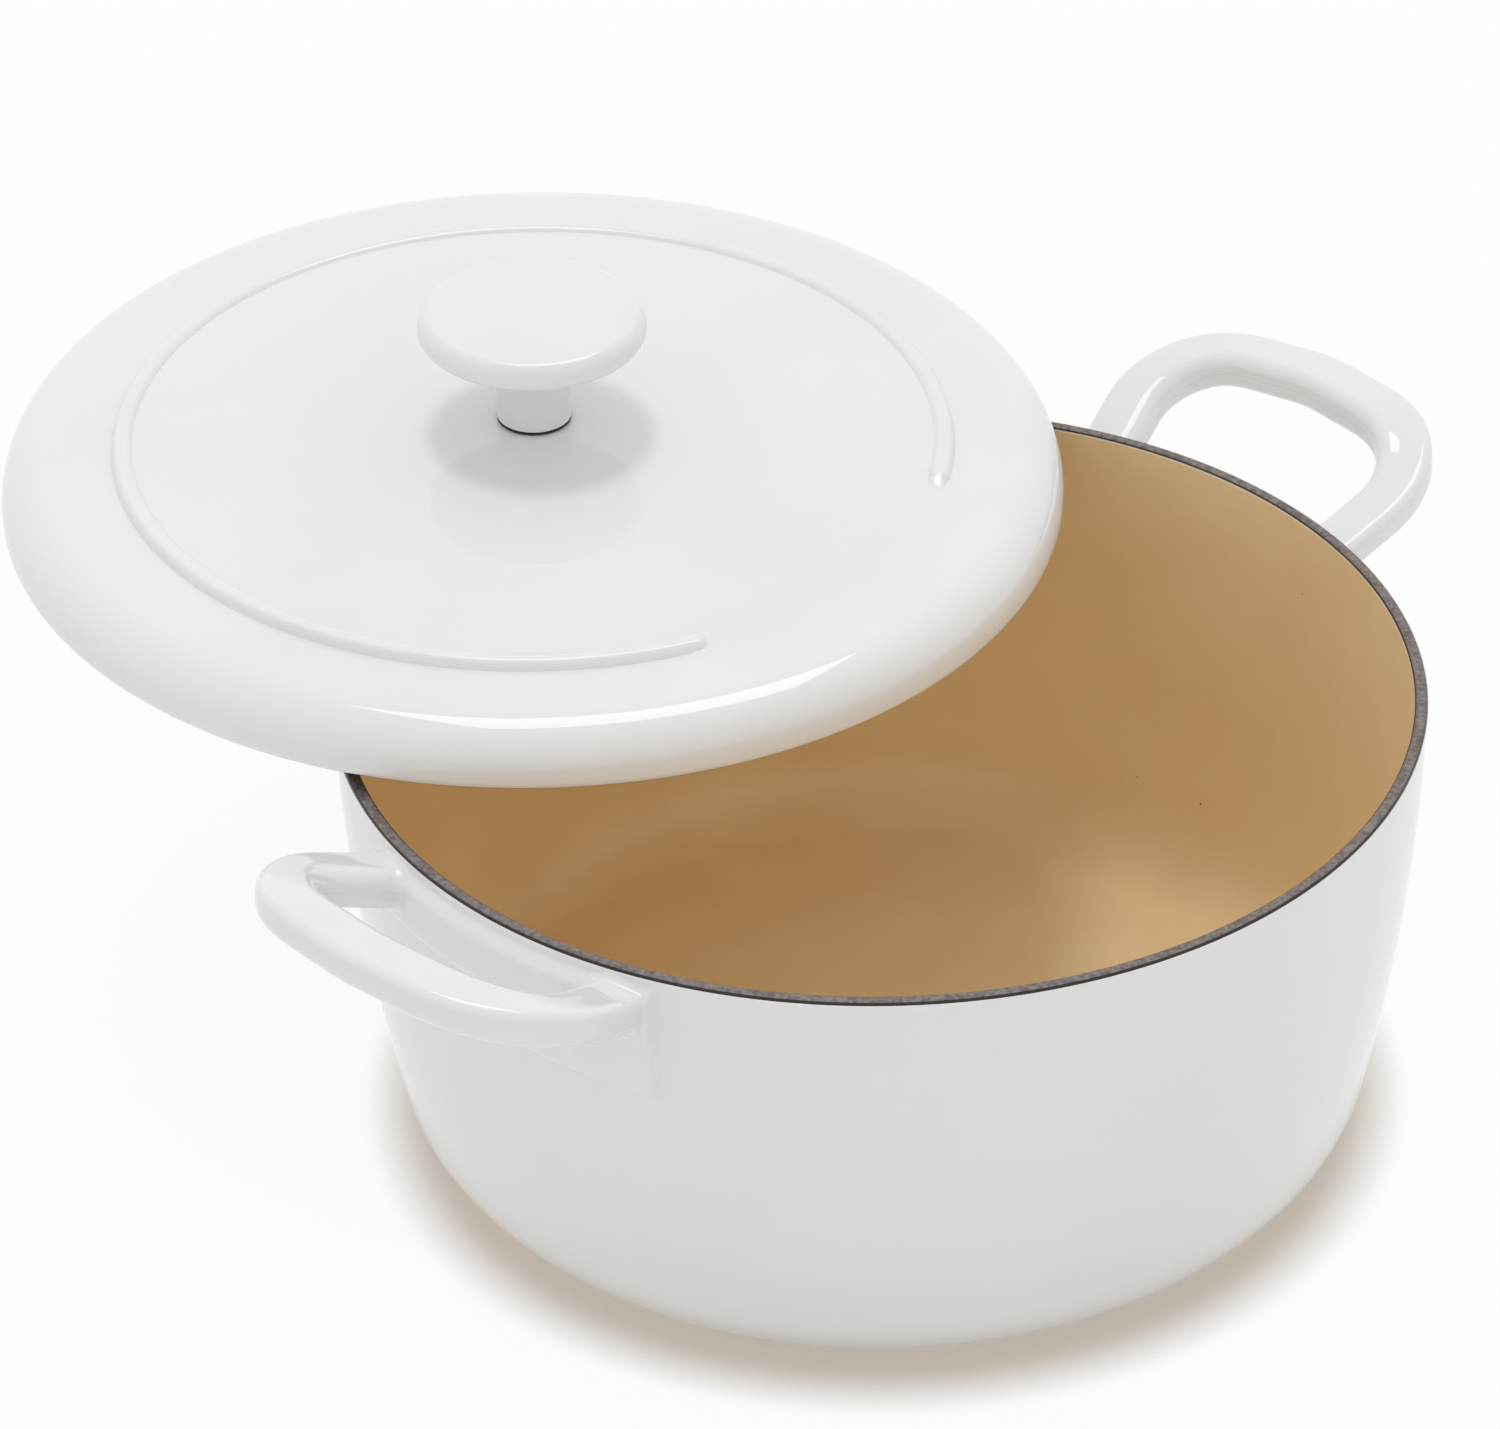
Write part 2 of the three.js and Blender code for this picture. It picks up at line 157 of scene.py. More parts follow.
# How finely the shapes are divided
WIDE_PARTS = 24  # of a wide rounding
EDGE_PARTS = 12  # of a plain edge
HEAD_PARTS = 10  # of the screw's head and the lid's hollow
FINE_PARTS = 6  # of a small edge
WASHER_PARTS = 4  # of a washer's edge
WALL_RINGS = 30  # up the wall below the pads
PAD_RINGS = 48  # up the wall over the pads
INNER_RINGS = 12  # up the inner wall behind them
ROOT_STEPS = 10  # rings across the fillet of an arm
BEND_PARTS = 16  # of a handle's bend
BEND_PASSES = 24  # times that the handle's middle line is smoothed
BAR_STEP = 1  # between rings along the bar
SECTION_PARTS = 9  # of each corner of the bar's section
SECTION_STEP = 2  # longest step between points round it
PANEL_RINGS = 40  # across the lid's panel
BEAD_RINGS = 32  # across its bead
BAND_RINGS = 6  # across the band outside it
LIP_PARTS = 18  # of the lid's lower edge
UNDER_RINGS = 24  # across the panel's underside
KNOB_TOP_RINGS = 8
KNOB_COLUMNS = 144
FIXING_COLUMNS = 96  # of the gasket, the flat washer and the screw
SPRING_RINGS = 72  # along the spring washer
POT_COLUMN = 1.5  # degrees between the pot's columns
PAD_COLUMN = 0.5  # over a pad
PAD_SIDE_COLUMN = 0.15  # at a pad's sides
PAD_SIDE_REACH = 2.5  # how far these go, in times the softness of the sides
LID_COLUMN = 1.5  # degrees between the lid's columns
BEAD_END_COLUMN = 0.12  # at the ends of the bead
BEAD_END_REACH = 2  # degrees that these go
CRISP_ANGLE = 40  # degrees, over which an edge stays crisp
TINY = 1e-6  # counts as nothing

# Camera, standing where the photograph was taken from
IMAGE_WIDTH = 1500
LENS = 124.8
CAMERA_AIM = 60  # height on the pot's axis that the camera faces
CAMERA_DISTANCE = 1301
CAMERA_AZIMUTH = -47.47
CAMERA_ELEVATION = 35.07
CAMERA_ROLL = -0.68
CAMERA_FAR = 100  # metres that it sees
FRAME_RIGHT = -132.8  # pixels that the frame is shifted by
FRAME_UP = 168.2

# Light, as shares of the light that makes white paper white
ROOM_EVEN = 0.46  # light of the room from everywhere above the floor
ROOM_WALLS = (  # brighter patches: degrees round from the camera, degrees up, strength in the middle
    (0, 20, 0.47),
    (-80, 30, 0.36),
    (80, 30, 0.42),
    (180, 40, 0.71),
)
PATCH_POWER = 4.0  # how fast a patch fades from its middle
HORIZON = 0.01  # softness of the room's light at floor level
KEY = 0.2  # light of the softbox on a surface that faces it
KEY_SIZE = 13  # degrees across, seen from the pot
KEY_TILT = 14  # degrees from straight above
KEY_TURN = -12  # degrees to the camera's right from straight behind the pot
STRIP = 3.2  # brightness of the strip lamp, which only the gloss shows
STRIP_LENGTH = 0.95  # metres, as are the next two
STRIP_WIDTH = 0.7
STRIP_DISTANCE = 1.6
STRIP_TILT = 13  # as for the softbox
STRIP_TURN = 20
STRIP_LIE = 20  # degrees that its right end lies further from the camera
FLOOR_HALF = 20  # metres from the floor's middle to its sides
FLOOR_GLOW = 0.92  # share of the floor, as it is seen, that glows white with a painted contact shadow, the rest takes light and shadow
PAINTED_SHADOW_REACH = 18  # millimetres from the pot's foot over which a contact shadow is painted into the floor's glow
PAINTED_SHADOW_SAMPLES = 16

# Sockets and usual values of shader nodes
COLOUR_A = 6  # a mix node's two colours
COLOUR_B = 7
COLOUR_MIX = 2  # and the colour it gives
NOISE_LOW = 0.3  # most of a soft noise lies between these two
NOISE_HIGH = 0.7
GRIT_LOW = 0.35  # and most of a grain between these
GRIT_HIGH = 0.65
SPECK_CORE = 0.6  # share of a speck's radius that is solid

# Values worked out from the sizes above
rim_inside = POT_RADIUS - POT_WALL
middle_ring = POT_RADIUS / 3
bow_middle = POT_RADIUS - WALL_BOW
pad_half = PAD_WIDTH / 2
lid_radius = POT_RADIUS + LID_OVERHANG
bead_radius = lid_radius - BEAD_INSET
ring_outside = rim_inside - RING_PLAY
ring_inside = ring_outside - RING_WIDTH
bead_half = BEAD_WIDTH / 2
panel_radius = bead_radius - bead_half
band_inside = bead_radius + bead_half
panel_top = LID_HEIGHT + LID_STEP + LID_DOME
panel_bend = (panel_radius ** 2 + LID_DOME ** 2) / (2 * LID_DOME)
bore = SCREW_RADIUS + HOLE_CLEARANCE
gasket_foot = panel_top + FACE_GAP
knob_foot = gasket_foot + GASKET_THICK + FACE_GAP
washer_foot = panel_top - LID_PLATE - FACE_GAP - WASHER_THICK
spring_foot = washer_foot - FACE_GAP - SPRING_THICK
screw_seat = spring_foot - FACE_GAP


def lid_pose():
    """Where the lid lies on the pot, from the frame's turning joint, in millimetres."""
    turn = next(joint for joint in frame["joints"] if joint["name"] == "lid_turn")
    axis = Vector(turn["axis"])
    place = Matrix.Translation(Vector(turn["pos_m"]) / MM)
    return place @ Matrix.Rotation(math.atan2(-axis.y, axis.z), 4, "X")


# Shape helpers


def arc(r, z, radius, start, stop, parts, radius_z=None):
    """Points (radius, height) on an arc of a profile, oval where radius_z is given, angles in degrees."""
    tall = radius if radius_z is None else radius_z
    angles = [math.radians(start + (stop - start) * i / parts) for i in range(parts + 1)]
    return [(r + radius * math.cos(a), z + tall * math.sin(a)) for a in angles]


def divided(start, stop, parts):
    """Values from start towards stop in equal parts, without stop itself."""
    return [start + (stop - start) * i / parts for i in range(parts)]


def ramp(value, low, high):
    """Smooth step from 0 at low to 1 at high."""
    t = min(max((value - low) / (high - low), 0), 1)
    return t * t * (3 - 2 * t)


def waver(angle):
    """Slow uneven wave round the rim, between -1 and 1."""
    return sum(share * math.sin(number * angle + start) for share, number, start in STOP_WAVES)


def even_angles(columns):
    return [2 * math.pi * i / columns for i in range(columns)]


def uneven_angles(step_at):
    """Angles once round, where step_at gives the degrees from each one to the next."""
    angles = []
    angle = 0.0
    while angle < 360:
        angles.append(math.radians(angle))
        angle += step_at(angle)
    return angles


def turned(r, angle, z):
    """The point at a radius, an angle round the axis and a height."""
    return Vector((r * math.cos(angle), r * math.sin(angle), z))


def ring(r, z, angles):
    """One turned ring of points, or the single point where a profile meets the axis."""
    if r < TINY:
        return [Vector((0, 0, z))]
    return [turned(r, a, z) for a in angles]


class Shell:
    """Points and faces of one piece, gathered in millimetres before its mesh is made."""

    def __init__(self):
        self.points = []
        self.faces = []
        self.finishes = []

    def stretch(self, rings, finishes):
        """Faces over a row of closed rings. finishes gives each strip's finish, or one for them all."""
        starts = []
        for points in rings:
            starts.append(len(self.points))
            self.points.extend(points)
        for i in range(len(rings) - 1):
            finish = finishes if isinstance(finishes, int) else finishes[i]
            self._strip(starts[i], len(rings[i]), starts[i + 1], len(rings[i + 1]), finish)

    def _strip(self, first, first_size, second, second_size, finish):
        size = max(first_size, second_size)
        for k in range(size):
            n = (k + 1) % size
            face = [first + k % first_size, first + n % first_size]
            face += [second + n % second_size, second + k % second_size]
            self.faces.append(list(dict.fromkeys(face)))
            self.finishes.append(finish)

    def turn(self, profile, angles):
        self.stretch([ring(r, z, angles) for r, z in profile], 0)

    def move(self, matrix):
        self.points = [matrix @ point for point in self.points]

    def lift(self, height):
        self.move(Matrix.Translation((0, 0, height)))


def put(name, data):
    """A new object in the scene."""
    made = bpy.data.objects.new(name, data)
    bpy.context.scene.collection.objects.link(made)
    return made


def piece(name, shell, finishes, body, node):
    """The mesh of a shell, riding a body in the place of a CAD node."""
    mesh = bpy.data.meshes.new(name)
    mesh.from_pydata([point * MM for point in shell.points], [], shell.faces)
    for face, finish in zip(mesh.polygons, shell.finishes):
        face.material_index = finish
        face.use_smooth = True
    work = bmesh.new()
    work.from_mesh(mesh)
    bmesh.ops.recalc_face_normals(work, faces=work.faces)
    work.to_mesh(mesh)
    work.free()
    mesh.set_sharp_from_angle(angle=math.radians(CRISP_ANGLE))
    for finish in finishes:
        mesh.materials.append(finish)
    made = put(name, mesh)
    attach(made, body)
    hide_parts(node)


# Finishes


def linear(hex_colour):
    """An sRGB hex colour as the linear colour that a shader takes."""
    parts = [int(hex_colour[i:i + 2], 16) / 255 for i in (1, 3, 5)]
    return [c / 12.92 if c <= 0.04045 else ((c + 0.055) / 1.055) ** 2.4 for c in parts] + [1]


def add(tree, kind, links=None, stops=(), **settings):
    """Adds a node. A link is a socket to take from or a value to set, by the input's name or number.

    stops are the two places and hex colours of a colour ramp.
    """
    made = tree.nodes.new(kind)
    for name, value in settings.items():
        setattr(made, name, value)
    for name, value in (links or {}).items():
        if isinstance(value, bpy.types.NodeSocket):
            tree.links.new(value, made.inputs[name])
        else:
            made.inputs[name].default_value = value
    for i, (position, hex_colour) in enumerate(stops):
        made.color_ramp.elements[i].position = position
        made.color_ramp.elements[i].color = linear(hex_colour)
    return made


def empty_tree(block):
    """The node tree of a new material or world, with nothing in it."""
    block.use_nodes = True
    block.node_tree.nodes.clear()
    return block.node_tree


def finish_of(name):
    """A new material, its empty node tree, and the place on the piece in metres."""
    made = bpy.data.materials.new(name)
    tree = empty_tree(made)
    return made, tree, add(tree, "ShaderNodeTexCoord").outputs["Object"]


def surface(tree, links):
    """The shader of a finish, with its sockets linked or set."""
    shader = add(tree, "ShaderNodeBsdfPrincipled", links)
    add(tree, "ShaderNodeOutputMaterial", {"Surface": shader.outputs["BSDF"]})


def per_mm(size):
    """Texture scale at which a pattern repeats about every size millimetres."""
    return 1 / (size * MM)


def specked(tree, place, tone, hex_colour, spacing, size):
    """A tone with rare round specks, in the middle of some cells that are spacing apart, in millimetres."""
    cells = add(tree, "ShaderNodeTexVoronoi", {"Vector": place, "Scale": per_mm(spacing)})
    specks = add(tree, "ShaderNodeMapRange", {
        "Value": cells.outputs["Distance"],
        "From Min": SPECK_CORE * size / spacing,
        "From Max": size / spacing,
        "To Min": 1.0,
        "To Max": 0.0,
    })
    return add(
        tree, "ShaderNodeMix",
        {"Factor": specks.outputs[0], COLOUR_A: tone.outputs["Color"], COLOUR_B: linear(hex_colour)},
        data_type="RGBA",
    ).outputs[COLOUR_MIX]


def gloss_range(noise, low, high):
    """Links that turn a noise into a roughness between low and high."""
    return {
        "Value": noise.outputs["Fac"],
        "From Min": NOISE_LOW,
        "From Max": NOISE_HIGH,
        "To Min": low,
        "To Max": high,
    }


def white_fired_enamel():
    """Vitreous enamel dipped and fired on iron: clean white, a wet gloss, faintly uneven, rare pinholes."""
    made, tree, place = finish_of("white_fired_enamel")
    cloud = add(tree, "ShaderNodeTexNoise", {"Vector": place, "Scale": per_mm(70), "Detail": 3.0})
    tones = ((NOISE_LOW, "#E8E8E7"), (NOISE_HIGH, "#EBEBEA"))
    tone = add(tree, "ShaderNodeValToRGB", {"Fac": cloud.outputs["Fac"]}, tones)
    colour = specked(tree, place, tone, "#A39A8E", spacing=75, size=0.4)
    flow = add(tree, "ShaderNodeTexNoise", {"Vector": place, "Scale": per_mm(22), "Detail": 1.0})
    gloss = add(tree, "ShaderNodeMapRange", gloss_range(flow, 0.02, 0.04))
    wave = add(
        tree, "ShaderNodeBump", {"Strength": 0.12, "Distance": 0.02 * MM, "Height": flow.outputs["Fac"]},
    )
    surface(tree, {
        "Base Color": colour,
        "Roughness": gloss.outputs[0],
        "IOR": 1.58,
        "Normal": wave.outputs["Normal"],
    })
    return made


def sand_fired_enamel(name, dark, pale):
    """Sand enamel on the inside: satin rather than wet, in two clouded tones, a few dark specks of frit."""
    made, tree, place = finish_of(name)
    cloud = add(tree, "ShaderNodeTexNoise", {"Vector": place, "Scale": per_mm(45), "Detail": 4.0})
    tones = ((NOISE_LOW, dark), (NOISE_HIGH, pale))
    tone = add(tree, "ShaderNodeValToRGB", {"Fac": cloud.outputs["Fac"]}, tones)
    colour = specked(tree, place, tone, "#5E4A33", spacing=30, size=0.5)
    peel = add(tree, "ShaderNodeTexNoise", {"Vector": place, "Scale": per_mm(6), "Detail": 2.0})
    gloss = add(tree, "ShaderNodeMapRange", gloss_range(cloud, 0.3, 0.4))
    wave = add(
        tree, "ShaderNodeBump", {"Strength": 0.3, "Distance": 0.02 * MM, "Height": peel.outputs["Fac"]},
    )
    surface(tree, {
        "Base Color": colour,
        "Roughness": gloss.outputs[0],
        "IOR": 1.5,
        "Normal": wave.outputs["Normal"],
    })
    return made


def grainy_finish(name, dark, pale, grain, roughness, depth):
    """A finish with an even mineral grain: two tones, grain size and bump depth in millimetres."""
    made, tree, place = finish_of(name)
    grit = add(tree, "ShaderNodeTexNoise", {"Vector": place, "Scale": per_mm(grain), "Detail": 4.0})
    tones = ((GRIT_LOW, dark), (GRIT_HIGH, pale))
    tone = add(tree, "ShaderNodeValToRGB", {"Fac": grit.outputs["Fac"]}, tones)
    wave = add(
        tree, "ShaderNodeBump", {"Strength": 0.6, "Distance": depth * MM, "Height": grit.outputs["Fac"]},
    )
    surface(tree, {
        "Base Color": tone.outputs["Color"],
        "Roughness": roughness,
        "Normal": wave.outputs["Normal"],
    })
    return made


def black_ground_coat():
    """First enamel coat left bare at the rim's edges: near black with a dull gloss."""
    return grainy_finish("black_ground_coat", "#141212", "#221F1E", grain=1.5, roughness=0.25, depth=0.02)


def worn_and_lit_ground_coat():
    """The same coat on top of the rim, rubbed matt by the lid and gritty; its mid grey is painted light,
    where the top faces the lamps.
    """
    return grainy_finish("worn_and_lit_ground_coat", "#574E4A", "#857B75", grain=1.2, roughness=0.55, depth=0.08)


def moulded_silicone():
    """Soft dark brown ring under the knob: matt, slightly dusty."""
    return grainy_finish("moulded_silicone", "#2A211C", "#3A2F28", grain=0.8, roughness=0.6, depth=0.02)


def tumbled_stainless_steel():
    """Tumbled steel: bright and softly matt, with a fine even grain, drawn coarser than real so it shows."""
    made, tree, place = finish_of("tumbled_stainless_steel")
    marks = add(tree, "ShaderNodeTexNoise", {"Vector": place, "Scale": per_mm(0.9), "Detail": 3.0})
    gloss = add(tree, "ShaderNodeMapRange", gloss_range(marks, 0.22, 0.4))
    tones = ((NOISE_LOW, "#B9B9B8"), (NOISE_HIGH, "#CFCFCD"))
    tone = add(tree, "ShaderNodeValToRGB", {"Fac": marks.outputs["Fac"]}, tones)
    wave = add(
        tree, "ShaderNodeBump", {"Strength": 0.3, "Distance": 0.02 * MM, "Height": marks.outputs["Fac"]},
    )
    surface(tree, {
        "Base Color": tone.outputs["Color"],
        "Metallic": 1,
        "Roughness": gloss.outputs[0],
        "Normal": wave.outputs["Normal"],
    })
    return made


# Pot


def wall_radius(z):
    """Radius of the pot's outer wall at a height, on the bulge."""
    return bow_middle + math.sqrt(WALL_BOW ** 2 - (POT_HEIGHT - z) ** 2)


def pad_stand(y, z):
    """How far a pad stands out of the wall: a shoulder, a ledge, then a thinner step to its foot."""
    below = POT_HEIGHT - z
    if abs(y) >= pad_half + PAD_SIDE or below <= PAD_TOP:
        return 0
    foot = PAD_FOOT + PAD_SAG * (y / pad_half) ** 2
    stand = PAD_UPPER * ramp(below, PAD_TOP, PAD_SHOULDER)
    stand -= (PAD_UPPER - PAD_LOWER) * ramp(below, PAD_LEDGE, PAD_LEDGE + PAD_EDGE)
    stand *= 1 - ramp(below, foot - PAD_EDGE / 2, foot + PAD_EDGE / 2)
    return stand * ramp(pad_half - abs(y), -PAD_SIDE, PAD_SIDE)


def on_wall(point):
    """The point moved straight in or out onto the wall and its pad."""
    r = wall_radius(point.z) + pad_stand(point.y, point.z)
    scale = r / math.hypot(point.x, point.y)
    return Vector((point.x * scale, point.y * scale, point.z))


def wall_gap(point):
    """How far a point stands off the wall and its pad."""
    z = min(point.z, POT_HEIGHT)
    return math.hypot(point.x, point.y) - wall_radius(z) - pad_stand(point.y, z)


def wall_line(bow, corner, bottom, stop, rings):
    """Profile of one face of the wall: round corner, then the bulge, in rings from the pad's foot to stop."""
    drop = POT_HEIGHT - bottom - corner
    corner_middle = bow_middle + math.sqrt((bow - corner) ** 2 - drop ** 2)
    meet = math.degrees(math.atan2(-drop, corner_middle - bow_middle))
    foot = -math.degrees(math.asin((PAD_FOOT + PAD_EDGE + PAD_SAG) / bow))
    top = -math.degrees(math.asin(stop / bow))
    turn = arc(corner_middle, bottom + corner, corner, -90, meet, WIDE_PARTS)
    low = arc(bow_middle, POT_HEIGHT, bow, meet, foot, WALL_RINGS)
    high = arc(bow_middle, POT_HEIGHT, bow, foot, top, rings)
    return turn + low[1:] + high[1:]


def pot_column(angle):
    """Degrees to the pot's next column: less over the pads and least at their sides."""
    past_pad = min(angle % 180, 180 - angle % 180) - math.degrees(math.asin(pad_half / POT_RADIUS))
    if abs(past_pad) < math.degrees(PAD_SIDE_REACH * PAD_SIDE / POT_RADIUS):
        return PAD_SIDE_COLUMN
    return PAD_COLUMN if past_pad < 0 else POT_COLUMN


def pot_shell():
    """The pot turned in one skin: white outside, a black rim whose top is painted a lit grey, then a cream
    line painted as a highlight, and sand inside.
    """
    white, black, worn_and_lit, cream, sand = range(5)
    angles = uneven_angles(pot_column)
    rings = []
    finishes = []

    wall = wall_line(WALL_BOW, BASE_CORNER, 0, OUTER_STOP, PAD_RINGS)
    for r, z in [(0, 0), (middle_ring, 0)] + wall:
        points = ring(r, z, angles)
        if z > POT_HEIGHT / 2:
            points = [on_wall(point) for point in points]
        rings.append(points)
        finishes.append(white)
    rings[-1] = [point + Vector((0, 0, STOP_WAVER * waver(a))) for point, a in zip(rings[-1], angles)]

    low = POT_HEIGHT - RIM_ROUND
    outer = POT_RADIUS - ENAMEL_COAT
    inner = rim_inside + ENAMEL_COAT
    bare = [(outer, POT_HEIGHT - OUTER_STOP + ENAMEL_COAT)]
    bare += arc(outer - RIM_ROUND, low, RIM_ROUND, 0, 90, EDGE_PARTS)
    inner_edge = arc(inner + RIM_ROUND, low, RIM_ROUND, 90, 180, WIDE_PARTS)
    bare += [(r, z) for r, z in inner_edge if z > POT_HEIGHT - INNER_STOP]
    for r, z in bare:
        rings.append(ring(r, z, angles))
        # the rim's top takes the lighter grey coat, painted light where it faces the lamps
        finishes.append(worn_and_lit if z > POT_HEIGHT - WORN_AND_LIT_DROP else black)

    cream_end = POT_HEIGHT - INNER_STOP - CREAM_EDGE
    coated_edge = arc(rim_inside + RIM_ROUND, low, RIM_ROUND, 90, 180, WIDE_PARTS)
    inside = [(r, z) for r, z in coated_edge if z <= POT_HEIGHT - INNER_STOP]
    inside += [(rim_inside, cream_end)]
    inside += wall_line(WALL_BOW - POT_WALL, FLOOR_CORNER, POT_FLOOR, RIM_ROUND, INNER_RINGS)[-2::-1]
    for r, z in inside + [(middle_ring, POT_FLOOR), (0, POT_FLOOR)]:
        rings.append(ring(r, z, angles))
        finishes.append(cream if z > cream_end else sand)
    shell = Shell()
    shell.stretch(rings, finishes)
    return shell


def eased(points, step, passes):
    """A line of points respaced evenly and smoothed, its ends kept."""
    line = [Vector(points[0])]
    for start, stop in zip(points, points[1:]):
        count = max(1, round((Vector(stop) - Vector(start)).length / step))
        line += [Vector(start).lerp(Vector(stop), (i + 1) / count) for i in range(count)]
    for _ in range(passes):
        middle = [(a + 2 * b + c) / 4 for a, b, c in zip(line, line[1:], line[2:])]
        line = [line[0]] + middle + [line[-1]]
    return line


def handle_line():
    """Middle line of half a handle in its own plane, from inside the wall to the middle of the grip."""
    half = HANDLE_SPAN / 2
    neck = HANDLE_NECK / 2
    bend = arc(HANDLE_REACH - HANDLE_BEND, half - HANDLE_BEND, HANDLE_BEND, 90, 0, BEND_PARTS)
    lean = (half - neck) / (HANDLE_REACH - HANDLE_BEND)
    sunk = POT_RADIUS - math.sqrt(POT_RADIUS ** 2 - (neck + HANDLE_WIDTH) ** 2)
    arm = [(-sunk, neck - lean * sunk)] + bend + [(HANDLE_REACH + HANDLE_BOW, 0)]
    back = [(u, -v) for u, v in arm[-2::-1]]
    line = eased(arm + back, BAR_STEP, BEND_PASSES)
    return line[:len(line) // 2 + 1]


def handle_section():
    """Outline of the bar's section, outward along the loop's plane and up across it, from the outer face."""
    half = HANDLE_WIDTH / 2
    deep = HANDLE_DEPTH / 2
    step = PARTING_STEP / 2
    inner_face = [(-half, step), (2 * step - half, -step)]
    corners = []
    for side, up, edge, start, before in (
        (1, 1, HANDLE_TOP_EDGE, 0, []),
        (-1, 1, HANDLE_INNER_EDGE, 90, []),
        (-1, -1, HANDLE_LOW_EDGE, 180, inner_face),
        (1, -1, HANDLE_UNDER_EDGE, 270, []),
    ):
        corners += before
        corners += arc(side * (half - edge), up * (deep - edge), edge, start, start + 90, SECTION_PARTS)
    outline = []
    for start, stop in zip(corners, corners[1:] + corners[:1]):
        parts = math.ceil(math.dist(start, stop) / SECTION_STEP)
        outline += [tuple(Vector(start).lerp(Vector(stop), i / parts)) for i in range(parts)]
    return outline


def bar_lines():
    """The long lines of half a handle, one for each point of its section, and how each faces at the wall."""
    rise = math.radians(HANDLE_RISE)
    root = Vector((POT_RADIUS, 0, POT_HEIGHT - HANDLE_DROP))
    plane_u = Vector((math.cos(rise), 0, math.sin(rise)))
    plane_v = Vector((0, 1, 0))
    upright = Vector((-math.sin(rise), 0, math.cos(rise)))
    middle_line = handle_line()
    section = handle_section()
    lines = [[] for _ in section]
    facings = []
    for i, place in enumerate(middle_line):
        before = middle_line[max(i - 1, 0)]
        after = middle_line[i + 1] if i + 1 < len(middle_line) else Vector((before.x, -before.y))
        forward = (after - before).normalized()
        side = plane_v * forward.x - plane_u * forward.y
        middle = root + plane_u * place.x + plane_v * place.y
        lean = Matrix.Rotation(math.radians(-HANDLE_LEAN) * forward.y ** 2, 2)
        offsets = [lean @ Vector(point) for point in section]
        offsets = [side * along + upright * across for along, across in offsets]
        for line, offset in zip(lines, offsets):
            line.append(middle + offset)
        if i == 0:
            facings = [offset.normalized() for offset in offsets]
    return lines, facings


def along_line(line, place):
    """The point at a place along a line, counted in points and parts of them."""
    first = min(int(place), len(line) - 2)
    return line[first].lerp(line[first + 1], place - first)


def root_curve(line, facing):
    """Fillet of one line of an arm: from the wall's skin onto the line, and the place where it meets it."""
    gaps = [wall_gap(point) for point in line]
    last = max(i for i in range(len(line) // 2) if gaps[i] <= 0)
    leaves = last + gaps[last] / (gaps[last] - gaps[last + 1])
    corner = along_line(line, leaves)
    radial = Vector((corner.x, corner.y, 0)).normalized()
    spread = (facing - radial * facing.dot(radial)).normalized()
    room = POT_HEIGHT - OUTER_STOP - ROOT_MARGIN - corner.z
    reach = ROOT_FILLET + (ROOT_FILLET_OUTER - ROOT_FILLET) * max(spread.y, 0)
    if spread.z > 0:
        reach = min(reach, room / spread.z)
    on_skin = on_wall(corner + spread * reach) - radial * SEAM_SINK
    meets = leaves + reach / BAR_STEP
    on_arm = along_line(line, meets)
    curve = []
    for i in range(ROOT_STEPS + 1):
        t = i / ROOT_STEPS
        curve.append(on_skin * (1 - t) ** 2 + corner * 2 * t * (1 - t) + on_arm * t ** 2)
    return curve, meets


def add_handles(shell, finish):
    """Two loop handles: arms that flow out of the wall in fillets, and the grip between them."""
    lines, facings = bar_lines()
    roots = [root_curve(line, facing) for line, facing in zip(lines, facings)]
    level = int(max(meets for _, meets in roots)) + 2  # a ring past the end of every fillet
    half = []
    for line, (curve, meets) in zip(lines, roots):
        arm = [along_line(line, meets + (level - meets) * i / ROOT_STEPS) for i in range(1, ROOT_STEPS + 1)]
        half.append(curve + arm + line[level + 1:])
    rings = [list(points) for points in zip(*half)]
    rings += [[Vector((p.x, -p.y, p.z)) for p in points] for points in rings[-2::-1]]
    shell.stretch(rings, finish)
    half_turn = Matrix.Rotation(math.pi, 4, "Z")
    shell.stretch([[half_turn @ p for p in points] for points in rings], finish)


def make_pot(finishes):
    shell = pot_shell()
    add_handles(shell, 0)
    piece("pot_casting", shell, finishes, "pot", "pot")


# Lid, knob and fixing


def dome_height(r):
    """Height of the domed panel's top at a radius."""
    return panel_top - panel_bend + math.sqrt(panel_bend ** 2 - r ** 2)


def top_height(r, angle):
    """Height of the lid's top: the panel, the step down to the flat band, and the bead along the step."""
    away = abs(math.remainder(angle - math.radians(BEAD_GAP_MIDDLE), 2 * math.pi))
    past_end = (math.radians(BEAD_GAP / 2) - away) * bead_radius
    half_step = bead_half + (GAP_STEP / 2 - bead_half) * ramp(past_end, -2 * bead_half, bead_half)
    base = dome_height(min(r, panel_radius))
    base -= LID_STEP * ramp(r, bead_radius - half_step, bead_radius + half_step)
    slope = min(math.hypot(r - bead_radius, max(past_end, 0)) / bead_half, 1)
    return base + (LID_HEIGHT + BEAD_HEIGHT - base) * math.cos(slope ** BEAD_SQUARE * math.pi / 2)


def lid_column(angle):
    """Degrees to the lid's next column: less at the ends of the bead."""
    away = abs(math.remainder(angle - BEAD_GAP_MIDDLE, 360))
    return BEAD_END_COLUMN if abs(away - BEAD_GAP / 2) < BEAD_END_REACH else LID_COLUMN


